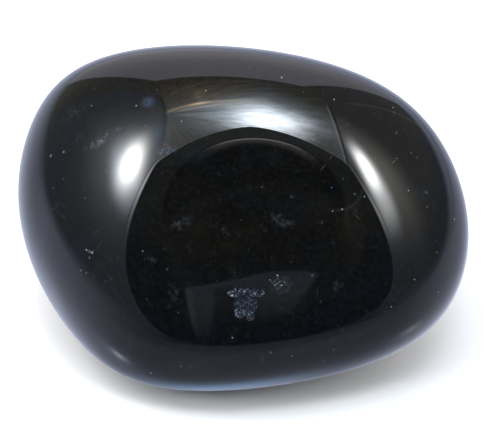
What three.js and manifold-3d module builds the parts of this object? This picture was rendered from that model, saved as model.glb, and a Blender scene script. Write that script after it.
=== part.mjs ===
// A tumbled black onyx pebble: one solid stone, ground and polished all over.
// Millimetres, +Z up. The stone rests on z = 0, and the origin lies on that
// resting face, under the middle of the stone's bounding box.
//
// A tumbling barrel wears a rough lump into a few broad, gently domed faces that
// run into each other over soft edges. The stone is built the same way: each face
// is part of a large sphere, and the skin is the soft minimum of all of them, seen
// from one point inside the stone, its heart.
import * as THREE from 'three';
import { mergeVertices } from 'three/addons/utils/BufferGeometryUtils.js';
import Module from 'manifold-3d';

// ---------------------------------------------------------------- dimensions

// The worn faces. azimuth turns from the front (-Y) towards the right (+X), and
// elevation rises from level. reach is how far the middle of the dome lies from
// the heart, and dome is the radius that it is worn to.
const FACES = {
  frontSlope: { azimuth: -5, elevation: 35, reach: 7.5, dome: 30 },
  crown: { azimuth: 0, elevation: 84, reach: 14.6, dome: 30 },
  backSlope: { azimuth: 170, elevation: 48, reach: 11.25, dome: 40 },
  leftEnd: { azimuth: -83, elevation: 22, reach: 14.85, dome: 32 },
  rightEnd: { azimuth: 93, elevation: 4, reach: 18.25, dome: 26 },
  backLeftShoulder: { azimuth: -131, elevation: 30, reach: 18.6, dome: 26 },
  backRightShoulder: { azimuth: 129, elevation: 19, reach: 14, dome: 28 },
  frontKeel: { azimuth: 10, elevation: -41, reach: 11.4, dome: 48 },
  frontLeftKeel: { azimuth: -56, elevation: -17, reach: 13.1, dome: 36 },
  frontRightKeel: { azimuth: 72, elevation: -32, reach: 15.7, dome: 30 },
  backKeel: { azimuth: 174, elevation: -15, reach: 15.3, dome: 24 },
  belly: { azimuth: 0, elevation: -87, reach: 10.6, dome: 62 },
};

const EDGE_CRISPNESS = 10; // higher wears the edges between the faces less round
const REST_DEPTH = 10.5; // from the heart down to the small flat that it rests on
const SKIN_DETAIL = 17; // splits of each of the 20 first triangles of the skin

// The hollows that the polish never reached. Each one is scooped out by a few
// flattened balls. right and up place a scoop in the skin from the hollow's own
// middle, width and height are its size there, and depth is how deep it bites.
const DRUSE_POCKET = {
  azimuth: 3.5,
  elevation: 1.25,
  scoops: [
    { right: -0.55, up: 0.45, width: 1.3, height: 0.6, depth: 0.28 }, // the bar's left end
    { right: 0, up: 0.5, width: 1.3, height: 0.6, depth: 0.3 }, // its middle
    { right: 0.55, up: 0.5, width: 1.3, height: 0.55, depth: 0.28 }, // its right end
    { right: 0, up: -0.25, width: 1.5, height: 1.5, depth: 0.4 }, // the stem
    { right: -0.35, up: -0.85, width: 0.7, height: 0.7, depth: 0.28 }, // its left foot
    { right: 0.3, up: -1.0, width: 0.55, height: 0.7, depth: 0.26 }, // and its right one
  ],
};
const PINHOLE = {
  azimuth: 17,
  elevation: 8.75,
  scoops: [{ right: 0, up: 0, width: 0.6, height: 0.5, depth: 0.16 }],
};
const BACK_CHIP = {
  azimuth: 160,
  elevation: 22,
  scoops: [
    { right: 0, up: 0, width: 1.3, height: 0.9, depth: 0.2 },
    { right: 0.55, up: -0.2, width: 0.8, height: 0.55, depth: 0.16 },
  ],
};
const HOLLOWS = [DRUSE_POCKET, PINHOLE, BACK_CHIP];

const SCOOP_SIDES = 14; // segments round a scoop
const SCOOP_RINGS = 8; // and from its floor to its top

// ---------------------------------------------------------------- the skin

// The unit vector that points away from the heart at this azimuth and elevation.
function outwards(azimuth, elevation) {
  const turn = THREE.MathUtils.degToRad(azimuth);
  const rise = THREE.MathUtils.degToRad(elevation);
  return new THREE.Vector3(
    Math.sin(turn) * Math.cos(rise),
    -Math.cos(turn) * Math.cos(rise),
    Math.sin(rise),
  );
}

// The sphere that each worn face is part of, placed from the heart.
const domes = Object.values(FACES).map(({ azimuth, elevation, reach, dome }) => ({
  centre: outwards(azimuth, elevation).multiplyScalar(reach - dome),
  radius: dome,
}));

// How far it is from the heart to the far side of a dome, along a unit vector.
function distanceToDome(direction, { centre, radius }) {
  const along = direction.dot(centre);
  return along + Math.sqrt(along ** 2 + radius ** 2 - centre.lengthSq());
}

// How far it is from the heart to the polished skin: the nearest dome counts
// most, and its neighbours round off the edge that they share with it.
function distanceToSkin(direction) {
  let nearness = 0;
  for (const dome of domes) {
    nearness += distanceToDome(direction, dome) ** -EDGE_CRISPNESS;
  }
  return nearness ** (-1 / EDGE_CRISPNESS);
}

// The point of the skin in this direction, and the way that the skin faces there.
function skinAt(direction) {
  return direction.clone().multiplyScalar(distanceToSkin(direction));
}

function skinNormal(direction) {
  const step = 0.01;
  const sideways = new THREE.Vector3(0, 0, 1).cross(direction).normalize();
  const upwards = direction.clone().cross(sideways);
  const here = skinAt(direction);
  const right = skinAt(direction.clone().addScaledVector(sideways, step).normalize());
  const above = skinAt(direction.clone().addScaledVector(upwards, step).normalize());
  return right.sub(here).cross(above.sub(here)).normalize();
}

// A closed ball of triangles, each corner moved out to the skin.
function pebbleGeometry() {
  const geometry = new THREE.IcosahedronGeometry(1, SKIN_DETAIL);
  const corners = geometry.getAttribute('position');
  const corner = new THREE.Vector3();
  for (let i = 0; i < corners.count; i += 1) {
    corner.fromBufferAttribute(corners, i).normalize();
    const skin = skinAt(corner);
    corners.setXYZ(i, skin.x, skin.y, skin.z);
  }
  return geometry;
}

// ---------------------------------------------------------------- the hollows

// A flattened ball whose middle lies on the skin, so that it bites in by depth.
function scoopGeometry(hollow, { right, up, width, height, depth }) {
  const normal = skinNormal(outwards(hollow.azimuth, hollow.elevation));
  const sideways = new THREE.Vector3(0, 0, 1).cross(normal).normalize();
  const upwards = normal.clone().cross(sideways);
  const place = skinAt(outwards(hollow.azimuth, hollow.elevation))
    .addScaledVector(sideways, right)
    .addScaledVector(upwards, up);
  const onSkin = skinAt(place.normalize());
  const ball = new THREE.SphereGeometry(0.5, SCOOP_SIDES, SCOOP_RINGS);
  ball.scale(width, height, 2 * depth);
  ball.applyMatrix4(new THREE.Matrix4().makeBasis(sideways, upwards, normal));
  ball.translate(onSkin.x, onSkin.y, onSkin.z);
  return ball;
}

// Everything below the resting face, which is cut away.
function floorCutter() {
  const side = 60;
  return new THREE.BoxGeometry(side, side, side).translate(0, 0, -REST_DEPTH - side / 2);
}

// ---------------------------------------------------------------- the solid

const wasm = await Module();
wasm.setup();

// A closed geometry as a solid that can be cut.
function solidFrom(geometry) {
  const bare = geometry.clone();
  bare.deleteAttribute('normal');
  bare.deleteAttribute('uv');
  const merged = mergeVertices(bare, 1e-5);
  return new wasm.Manifold(new wasm.Mesh({
    numProp: 3,
    vertProperties: new Float32Array(merged.getAttribute('position').array),
    triVerts: new Uint32Array(merged.getIndex().array),
  }));
}

// A solid as a geometry again.
function geometryFrom(solid) {
  const { vertProperties, triVerts } = solid.getMesh();
  const geometry = new THREE.BufferGeometry();
  geometry.setAttribute('position', new THREE.BufferAttribute(vertProperties, 3));
  geometry.setIndex(new THREE.BufferAttribute(triVerts, 1));
  geometry.computeVertexNormals();
  return geometry;
}

function stoneGeometry() {
  let stone = solidFrom(pebbleGeometry()).subtract(solidFrom(floorCutter()));
  for (const hollow of HOLLOWS) {
    for (const scoop of hollow.scoops) {
      stone = stone.subtract(solidFrom(scoopGeometry(hollow, scoop)));
    }
  }
  const geometry = geometryFrom(stone);
  geometry.computeBoundingBox();
  const middle = geometry.boundingBox.getCenter(new THREE.Vector3());
  return geometry.translate(-middle.x, -middle.y, REST_DEPTH);
}

// ---------------------------------------------------------------- the part

const polishedOnyx = new THREE.MeshStandardMaterial({
  color: 0x0b0c0f,
  roughness: 0.05,
  metalness: 0,
});

const stone = new THREE.Mesh(stoneGeometry(), polishedOnyx);
stone.name = 'stone';

const onyx = new THREE.Group();
onyx.add(stone);

export default onyx;
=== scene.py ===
"""A tumbled black onyx pebble, dressed for its picture.

The pebble is one solid stone, so there is one piece. Its skin is worked out from the
same worn faces as the solid that it stands for, with the hollows that the polish never
reached and their crusts of tiny quartz crystals. The stone lies on white paper and
mirrors the light tent that it was set in. Lengths are in metres, +Z is up, and the
front of the stone faces -Y.
"""

import logging
from dataclasses import dataclass, field
from enum import Enum
from typing import Union

import bpy
import numpy as np
from mathutils import Euler, Matrix, Vector

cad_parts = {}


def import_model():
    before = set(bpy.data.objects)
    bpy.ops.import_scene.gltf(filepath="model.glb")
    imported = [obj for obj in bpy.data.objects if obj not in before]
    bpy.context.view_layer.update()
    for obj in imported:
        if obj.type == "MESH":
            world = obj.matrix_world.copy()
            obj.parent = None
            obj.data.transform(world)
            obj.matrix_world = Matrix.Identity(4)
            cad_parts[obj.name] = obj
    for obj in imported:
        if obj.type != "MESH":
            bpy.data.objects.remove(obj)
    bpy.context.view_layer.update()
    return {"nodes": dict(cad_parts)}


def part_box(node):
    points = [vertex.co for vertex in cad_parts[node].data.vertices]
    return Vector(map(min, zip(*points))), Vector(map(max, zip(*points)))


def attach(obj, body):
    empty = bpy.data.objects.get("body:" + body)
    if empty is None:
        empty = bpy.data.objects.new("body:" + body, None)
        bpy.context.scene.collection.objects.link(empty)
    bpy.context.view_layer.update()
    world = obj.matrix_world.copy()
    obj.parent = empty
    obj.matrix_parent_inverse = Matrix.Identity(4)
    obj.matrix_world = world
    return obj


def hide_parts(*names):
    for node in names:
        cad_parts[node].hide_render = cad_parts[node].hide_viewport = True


log = logging.getLogger("black_onyx")

MM = 0.001
TINY = 0.001  # keeps a measure that something is divided by away from nothing
UP = np.array([0.0, 0.0, 1.0])
Array = np.ndarray
Socket = bpy.types.NodeSocket
Colour = tuple[float, float, float]
Span = tuple[float, float]
Row = tuple[float | Colour, ...]
Number = Union["Value", float]
Paint = Union["Value", Colour]
PLAIN: Colour = (1.0, 1.0, 1.0)


def outwards(azimuth: Array | float, elevation: Array | float) -> Array:
    """Unit vectors away from the heart.

    Azimuth turns from the front, -Y, towards the right, +X. Elevation rises from level.

    Args:
        azimuth: degrees, one number or an array.
        elevation: degrees, of the same shape.

    Returns:
        (sin a cos e, -cos a cos e, sin e), stacked along a new last axis.
    """
    turn = np.radians(azimuth)
    rise = np.radians(elevation)
    level = np.cos(rise)
    return np.stack([np.sin(turn) * level, -np.cos(turn) * level, np.sin(rise)], axis=-1)


def unit(vectors: Array) -> Array:
    """The vectors scaled to length 1."""
    return vectors / np.linalg.norm(vectors, axis=-1, keepdims=True)


def placed(name: str, data: bpy.types.ID) -> bpy.types.Object:
    """A new object with this data, linked to the scene."""
    made = bpy.data.objects.new(name, data)
    bpy.context.scene.collection.objects.link(made)
    return made


# ---------------- the worn shape


@dataclass(frozen=True)
class WornFace:
    """One broad face of the pebble, worn to part of a large sphere.

    azimuth and elevation, in degrees, point at the middle of the face from the heart.
    reach is how far that middle is from the heart, and dome is the sphere's radius.
    """

    azimuth: float
    elevation: float
    reach: float
    dome: float

    def centre(self) -> Array:
        """Where the middle of the sphere lies from the heart."""
        return outwards(self.azimuth, self.elevation) * (self.reach - self.dome)


@dataclass(frozen=True)
class WornSkin:
    """The polished skin: the soft minimum of all the worn faces, seen from the heart."""

    faces: tuple[WornFace, ...]
    crispness: float
    rest_depth: float

    def nearness(self, directions: Array) -> tuple[Array, Array]:
        """How near each face is along each direction, and how that changes.

        A ray along the unit vector u leaves a sphere with centre c and radius R at
        t = u.c + sqrt((u.c)^2 + R^2 - c.c), and its nearness is 1 / t.

        Args:
            directions: unit vectors, (..., 3).

        Returns:
            The nearness of each face, (faces, ...), and its slope, (faces, ..., 3).
        """
        near = []
        slope = []
        for face in self.faces:
            centre = face.centre()
            spare = face.dome**2 - centre @ centre
            along = directions @ centre
            root = np.sqrt(along**2 + spare)
            near.append((root - along) / spare)
            pull = along[..., None] * centre + spare * directions
            slope.append((pull / root[..., None] - centre) / spare)
        return np.stack(near), np.stack(slope)

    def reach(self, directions: Array) -> Array:
        """How far the skin is from the heart: (sum of nearness^k)^(-1/k), k the crispness."""
        near, _ = self.nearness(directions)
        return np.sum(near**self.crispness, axis=0) ** (-1 / self.crispness)

    def points(self, directions: Array) -> Array:
        """The points of the skin along these unit vectors, from the heart."""
        return directions * self.reach(directions)[..., None]

    def normals(self, directions: Array) -> Array:
        """The way the skin faces: the faces' slopes, weighted by nearness^(k - 1)."""
        near, slope = self.nearness(directions)
        weight = near ** (self.crispness - 1)
        return unit(np.sum(weight[..., None] * slope, axis=0))

    def tangents(self, azimuth: float, elevation: float) -> tuple[Array, Array, Array]:
        """Level, uphill and outward unit vectors of the skin in one direction."""
        normal = self.normals(outwards(azimuth, elevation))
        level = unit(np.cross(UP, normal))
        return level, np.cross(normal, level), normal


# ---------------- the hollows


@dataclass(frozen=True)
class Scoop:
    """One flattened ball bitten out of the skin, placed from its hollow's middle.

    frost is how milky its crystals are, next to those of the other scoops.
    """

    right: float
    up: float
    width: float
    height: float
    depth: float
    frost: float = 1.0


@dataclass(frozen=True)
class Hollow:
    """A pocket that the polish never reached, lined with a crust of quartz crystals.

    crystal is a crystal's usual size, heights are in that size, and slopes are how
    steep crystals are. The higher the clearness, the fewer are milky. crowding and
    fewest set how many there are, and the crust fills crust_limit of the depth at most.
    The rim wanders by raggedness crystals, in waves of about wave crystals.
    """

    azimuth: float
    elevation: float
    scoops: tuple[Scoop, ...]
    crystal: float
    seed: int
    raggedness: float = 0.09
    clearness: float = 5.0
    crowding: float = 1.6
    fewest: int = 4
    heights: Span = (0.35, 1.3)
    slopes: Span = (0.9, 1.9)
    crust_limit: float = 0.8
    wave: float = 6.0
    wave_counts: tuple[float, float, float, float] = (2.1, 3.7, 1.7, 3.1)
    skin_reach: float = 2 * MM

    def depth(self, skin: WornSkin, points: Array) -> tuple[Array, Array]:
        """How deep the crusted floor of the hollow lies under each point of the skin.

        In its own plane a scoop bites in by depth * sqrt(1 - x^2 - y^2), where x and y
        are 1 at its rim, and the deepest scoop counts. The crust stands on that floor.

        Args:
            skin: the skin that the hollow is in.
            points: points of the skin from the heart, (..., 3).

        Returns:
            The depth in metres, 0 outside the hollow, and how milky the crystal there is.
        """
        level, uphill, normal = skin.tangents(self.azimuth, self.elevation)
        offset = points - skin.points(outwards(self.azimuth, self.elevation))
        near = np.abs(offset @ normal) < self.skin_reach
        plane = np.stack([offset @ level, offset @ uphill], axis=-1)
        ragged = plane + self.ripple(plane)
        floor = np.zeros(points.shape[:-1])
        share = np.ones(floor.shape)
        for scoop in self.scoops:
            x = (ragged[..., 0] - scoop.right) / (scoop.width / 2)
            y = (ragged[..., 1] - scoop.up) / (scoop.height / 2)
            bite = scoop.depth * np.sqrt(np.clip(1 - x**2 - y**2, 0, 1))
            share = np.where(bite > floor, scoop.frost, share)
            floor = np.maximum(floor, bite)
        floor *= near
        inside = floor > 0
        crust = np.zeros(floor.shape)
        frost = np.zeros(floor.shape)
        crust[inside], frost[inside] = self.crust(plane[inside])
        crust = np.minimum(crust, self.crust_limit * floor)
        return np.maximum(floor - crust, 0), frost * share

    def ripple(self, plane: Array) -> Array:
        """A small wander of the rim: two sines of each coordinate, out of step."""
        pitch = 2 * np.pi / (self.wave * self.crystal)
        phases = np.random.default_rng(self.seed).uniform(0, 2 * np.pi, 4)
        across, along = plane[..., 0] * pitch, plane[..., 1] * pitch
        a, b, c, d = self.wave_counts
        wander_x = np.sin(a * along + phases[0]) + np.sin(b * along + across + phases[1])
        wander_y = np.sin(c * across + phases[2]) + np.sin(d * across - along + phases[3])
        return self.raggedness * self.crystal * np.stack([wander_x, wander_y], axis=-1)

    def crust(self, plane: Array) -> tuple[Array, Array]:
        """The height of the crystals: the tallest of many six-sided pyramids.

        Crystals grow at random places over the hollow. A crystal's height falls away
        from its tip in proportion to the largest of the distances across its three
        pairs of sides, turned by its own angle.

        Args:
            plane: places in the plane of the hollow, (n, 2).

        Returns:
            The height in metres at each place, and how milky the tallest crystal is
            there, from 0 to 1. Most are clear and a few are white.
        """
        dice = np.random.default_rng(self.seed + 1)
        low, high = plane.min(axis=0), plane.max(axis=0)
        count = int(self.crowding * np.prod((high - low) / self.crystal)) + self.fewest
        tips = dice.uniform(low, high, (count, 2))
        heights = self.crystal * dice.uniform(*self.heights, count)
        turns = dice.uniform(0, np.pi / 3, count)
        slopes = dice.uniform(*self.slopes, count)
        milkiness = dice.uniform(0, 1, count) ** self.clearness
        tallest = np.zeros(len(plane))
        frost = np.zeros(len(plane))
        for tip, height, turn, slope, milky in zip(tips, heights, turns, slopes, milkiness):
            sides = turn + np.arange(3) * np.pi / 3
            across = (plane - tip) @ np.stack([np.cos(sides), np.sin(sides)])
            rise = height - slope * np.abs(across).max(axis=-1)
            frost = np.where(rise > tallest, milky, frost)
            tallest = np.maximum(tallest, rise)
        return tallest, frost


# ---------------- node building


class Value:
    """A number or a colour that nodes work out. It adds and multiplies like a number."""

    def __init__(self, bench: "NodeBench", socket: Socket) -> None:
        """Holds the socket that the result comes out of."""
        self.bench = bench
        self.socket = socket

    def __add__(self, other: Number) -> "Value":
        """The sum."""
        return self.bench.math("ADD", self, other)

    def __sub__(self, other: Number) -> "Value":
        """The difference."""
        return self.bench.math("SUBTRACT", self, other)

    def __rsub__(self, other: float) -> "Value":
        """A plain number less this."""
        return self.bench.math("SUBTRACT", other, self)

    def __mul__(self, other: Number) -> "Value":
        """The product."""
        return self.bench.math("MULTIPLY", self, other)

    def __truediv__(self, other: Number) -> "Value":
        """The quotient."""
        return self.bench.math("DIVIDE", self, other)

    def __abs__(self) -> "Value":
        """The size without its sign."""
        return self.bench.math("ABSOLUTE", self)

    def power(self, exponent: Number) -> "Value":
        """This raised to an exponent."""
        return self.bench.math("POWER", self, exponent)

    def least(self, other: Number) -> "Value":
        """The smaller of the two."""
        return self.bench.math("MINIMUM", self, other)

    def most(self, other: Number) -> "Value":
        """The larger of the two."""
        return self.bench.math("MAXIMUM", self, other)

    def step(self, low: Number, high: Number, start: float = 0.0, end: float = 1.0) -> "Value":
        """A smooth step, from start at low to end at high. low may be above high."""
        made = self.bench.node("ShaderNodeMapRange", interpolation_type="SMOOTHSTEP")
        names = ("Value", "From Min", "From Max", "To Min", "To Max")
        for name, given in zip(names, (self, low, high, start, end)):
            self.bench.feed(made.inputs[name], given)
        return Value(self.bench, made.outputs["Result"])

    def fading(self) -> "Value":
        """exp(-x)."""
        return self.bench.math("POWER", float(np.exp(-1.0)), self)

    def bell(self, middle: float, width: float) -> "Value":
        """A bell: exp(-((x - middle) / width)^2)."""
        off = (self - middle) / width
        return (off * off).fading()


class NodeBench:
    """Puts shader nodes into a tree and wires them."""

    def __init__(self, owner: bpy.types.Material | bpy.types.World) -> None:
        """Takes over its owner's tree and empties it."""
        owner.use_nodes = True
        self.tree = owner.node_tree
        self.tree.nodes.clear()

    def node(self, kind: str, **settings: object) -> bpy.types.Node:
        """A new node of this type with these properties."""
        made = self.tree.nodes.new(kind)
        for name, value in settings.items():
            setattr(made, name, value)
        return made

    def feed(self, socket: Socket, value: object) -> None:
        """Wires an input to a value, or sets it to a plain number, colour or vector."""
        if isinstance(value, Value):
            self.tree.links.new(value.socket, socket)
        elif socket.type == "RGBA":
            socket.default_value = (*value, 1.0)
        else:
            socket.default_value = value

    def coordinate(self, kind: str) -> Value:
        """Object coordinates on a piece, or Generated ones, a direction, in the world."""
        return Value(self, self.node("ShaderNodeTexCoord").outputs[kind])

    def attribute(self, name: str) -> Value:
        """A number that the mesh holds at each point."""
        return Value(self, self.node("ShaderNodeAttribute", attribute_name=name).outputs["Fac"])

    def math(self, operation: str, *values: Number) -> Value:
        """A Math node's result."""
        made = self.node("ShaderNodeMath", operation=operation)
        for socket, value in zip(made.inputs, values):
            self.feed(socket, value)
        return Value(self, made.outputs[0])

    def vector(self, operation: str, *values: object, output: int = 0) -> Value:
        """A Vector Math node's result: output 0 is its vector and output 1 its number."""
        made = self.node("ShaderNodeVectorMath", operation=operation)
        for socket, value in zip(made.inputs, values):
            self.feed(socket, value)
        return Value(self, made.outputs[output])

    def parts(self, vector: Value) -> tuple[Value, Value, Value]:
        """The three parts of a vector."""
        made = self.node("ShaderNodeSeparateXYZ")
        self.feed(made.inputs[0], vector)
        return tuple(Value(self, output) for output in made.outputs)

    def joined(self, across: Value, along: Value) -> Value:
        """The vector (across, along, 0)."""
        made = self.node("ShaderNodeCombineXYZ")
        self.feed(made.inputs[0], across)
        self.feed(made.inputs[1], along)
        return Value(self, made.outputs[0])

    def length(self, across: Value, along: Value) -> Value:
        """sqrt(across^2 + along^2)."""
        return self.vector("LENGTH", self.joined(across, along), output=1)

    def ellipse(self, across: Value, along: Value, middle: Span, size: Span) -> Value:
        """How far a place is from the middle, in half sizes: 1 on the ellipse."""
        return self.length((across - middle[0]) / size[0], (along - middle[1]) / size[1])

    def degrees(self, sine: Value, cosine: Value) -> Value:
        """The angle with this sine and cosine, times any one size, in degrees."""
        return self.math("DEGREES", self.math("ARCTAN2", sine, cosine))

    def blend(self, factor: Number, start: Paint, end: Paint) -> Value:
        """A colour that goes from start to end as factor goes from 0 to 1."""
        made = self.node("ShaderNodeMix", data_type="RGBA")
        factor_input, start_input, end_input = 0, 6, 7
        colour_output = 2
        self.feed(made.inputs[factor_input], factor)
        self.feed(made.inputs[start_input], start)
        self.feed(made.inputs[end_input], end)
        return Value(self, made.outputs[colour_output])

    def lit(self, colour: Paint, amount: Value, light: Paint) -> Value:
        """A colour with an amount of light added to it: colour + amount * light."""
        return self.vector("MULTIPLY_ADD", amount, light, colour)

    def scaled(self, colour: Paint, amount: Value) -> Value:
        """A colour times an amount."""
        made = self.node("ShaderNodeVectorMath", operation="SCALE")
        self.feed(made.inputs[0], colour)
        self.feed(made.inputs["Scale"], amount)
        return Value(self, made.outputs[0])

    def noise(self, place: Value, scale: float, detail: float, roughness: float) -> Value:
        """Soft noise, about 0.5 on average."""
        made = self.node("ShaderNodeTexNoise")
        self.feed(made.inputs["Vector"], place)
        made.inputs["Scale"].default_value = scale
        made.inputs["Detail"].default_value = detail
        made.inputs["Roughness"].default_value = roughness
        return Value(self, made.outputs[0])

    def shader(self, kind: str, colour: Paint) -> bpy.types.Node:
        """A shader of this type in one colour."""
        made = self.node(kind)
        self.feed(made.inputs["Color"], colour)
        return made

    def finish(self, output: str, shader: bpy.types.Node) -> None:
        """Ends the tree with this shader."""
        self.tree.links.new(shader.outputs[0], self.node(output).inputs["Surface"])

    def choice(self, ray: str, chosen: bpy.types.Node, other: bpy.types.Node) -> bpy.types.Node:
        """A shader that is the chosen one for rays of one kind and the other for the rest."""
        made = self.node("ShaderNodeMixShader")
        self.tree.links.new(self.node("ShaderNodeLightPath").outputs[ray], made.inputs[0])
        self.tree.links.new(other.outputs[0], made.inputs[1])
        self.tree.links.new(chosen.outputs[0], made.inputs[2])
        return made


# ---------------- touches of colour


@dataclass(frozen=True)
class Touch:
    """A touch of colour, as strong as some measure makes it."""

    colour: Colour

    def amount(self, measure: Value) -> Value:
        """How much of it there is at a value of the measure."""
        raise NotImplementedError

    def masked(self, measure: Value, mask: Value | None) -> Value:
        """How much of it there is behind a mask."""
        amount = self.amount(measure)
        return amount if mask is None else amount * mask

    def paint(self, under: Paint, measure: Value, mask: Value | None = None) -> Value:
        """What lies under, with this painted over it."""
        return measure.bench.blend(self.masked(measure, mask), under, self.colour)

    def light(self, under: Paint, measure: Value, mask: Value | None = None) -> Value:
        """What lies under, with this added to it as light."""
        return measure.bench.lit(under, self.masked(measure, mask), self.colour)


@dataclass(frozen=True)
class Tint(Touch):
    """A touch that comes in over a span of the measure, up to show."""

    span: Span
    show: float = 1.0

    def amount(self, measure: Value) -> Value:
        """A smooth step over the span."""
        return measure.step(*self.span, 0.0, self.show)


@dataclass(frozen=True)
class Line(Touch):
    """A touch that makes a soft line where the measure is near middle."""

    middle: float
    width: float
    show: float = 1.0

    def amount(self, measure: Value) -> Value:
        """A bell round the middle."""
        return measure.bell(self.middle, self.width) * self.show


@dataclass(frozen=True)
class Window:
    """Where something shows: between two soft ends, each a span that it comes in over."""

    start: Span
    end: Span

    def shown(self, measure: Value) -> Value:
        """1 well inside it and 0 outside."""
        return measure.step(*self.start) * measure.step(*self.end)


@dataclass(frozen=True)
class Speckle:
    """Soft noise, which shows as it rises over share."""

    scale: float
    share: Span
    detail: float = 2.0
    roughness: float = 0.5

    def seen(self, place: Value, start: float = 0.0, end: float = 1.0) -> Value:
        """How much it shows at a place, from start to end."""
        noise = place.bench.noise(place, self.scale, self.detail, self.roughness)
        return noise.step(*self.share, start, end)


@dataclass(frozen=True)
class Glow:
    """A soft spot of light, in whichever two measures it is placed by.

    width and height are its half sizes, turn is its lean in degrees, and firmness is
    how square and how quickly cut off it is.
    """

    across: float
    along: float
    width: float
    height: float
    strength: float
    turn: float = 0.0
    firmness: float = 1.0
    colour: Colour = PLAIN

    def light(self, under: Paint, x: Value, y: Value) -> Value:
        """Adds strength * exp(-(|X|^2f + |Y|^2f)), X and Y in half sizes, f its firmness.

        Args:
            under: the light without this spot.
            x: the measure that runs across.
            y: the measure that runs along.

        Returns:
            The light with this spot.
        """
        cosine = float(np.cos(np.radians(self.turn)))
        sine = float(np.sin(np.radians(self.turn)))
        off_x, off_y = x - self.across, y - self.along
        right = (off_x * cosine + off_y * sine) / self.width
        up = (off_y * cosine - off_x * sine) / self.height
        reach = abs(right).power(2 * self.firmness) + abs(up).power(2 * self.firmness)
        return x.bench.lit(under, reach.fading() * self.strength, self.colour)


def lit_by(glows: tuple[Glow, ...], under: Paint, x: Value, y: Value) -> Paint:
    """The light with all of these glows added."""
    for glow in glows:
        under = glow.light(under, x, y)
    return under


# ---------------- the finish


class MarkKind(Enum):
    """What a mark in the polish looks like."""

    CLOUD = "a soft milky patch, broken up by the grain"
    CORE = "a soft plain spot"
    RING = "the lower part of a thin rim round a bruise"
    LINE = "a fine healed crack"


@dataclass(frozen=True)
class Mark:
    """A mark in the stone, placed by direction from the heart.

    length and width are its half sizes in metres, turn is its angle from level in
    degrees, strength is how much of its colour shows, and colour is what it is made of.
    """

    kind: MarkKind
    azimuth: float
    elevation: float
    length: float
    width: float
    turn: float
    strength: float
    colour: Colour


@dataclass(frozen=True)
class Ground:
    """What marks are laid on: places on the skin round a heart, all in metres."""

    place: Value
    skin: WornSkin
    heart: Array

    def spot(self, azimuth: float, elevation: float) -> Array:
        """The point of the skin in one direction from the heart."""
        return self.heart + self.skin.points(outwards(azimuth, elevation))


@dataclass(frozen=True)
class Fleck:
    """A tiny bright grain in the polish: its direction, its half size and how it shows."""

    azimuth: float
    elevation: float
    size: float
    strength: float = 1.0

    def mask(self, ground: Ground) -> Value:
        """How much it shows at a point: all of it in its middle."""
        middle = ground.spot(self.azimuth, self.elevation).tolist()
        off = ground.place.bench.vector("DISTANCE", ground.place, middle, output=1)
        return off.step(self.size, 0.0, 0.0, self.strength)


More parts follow.
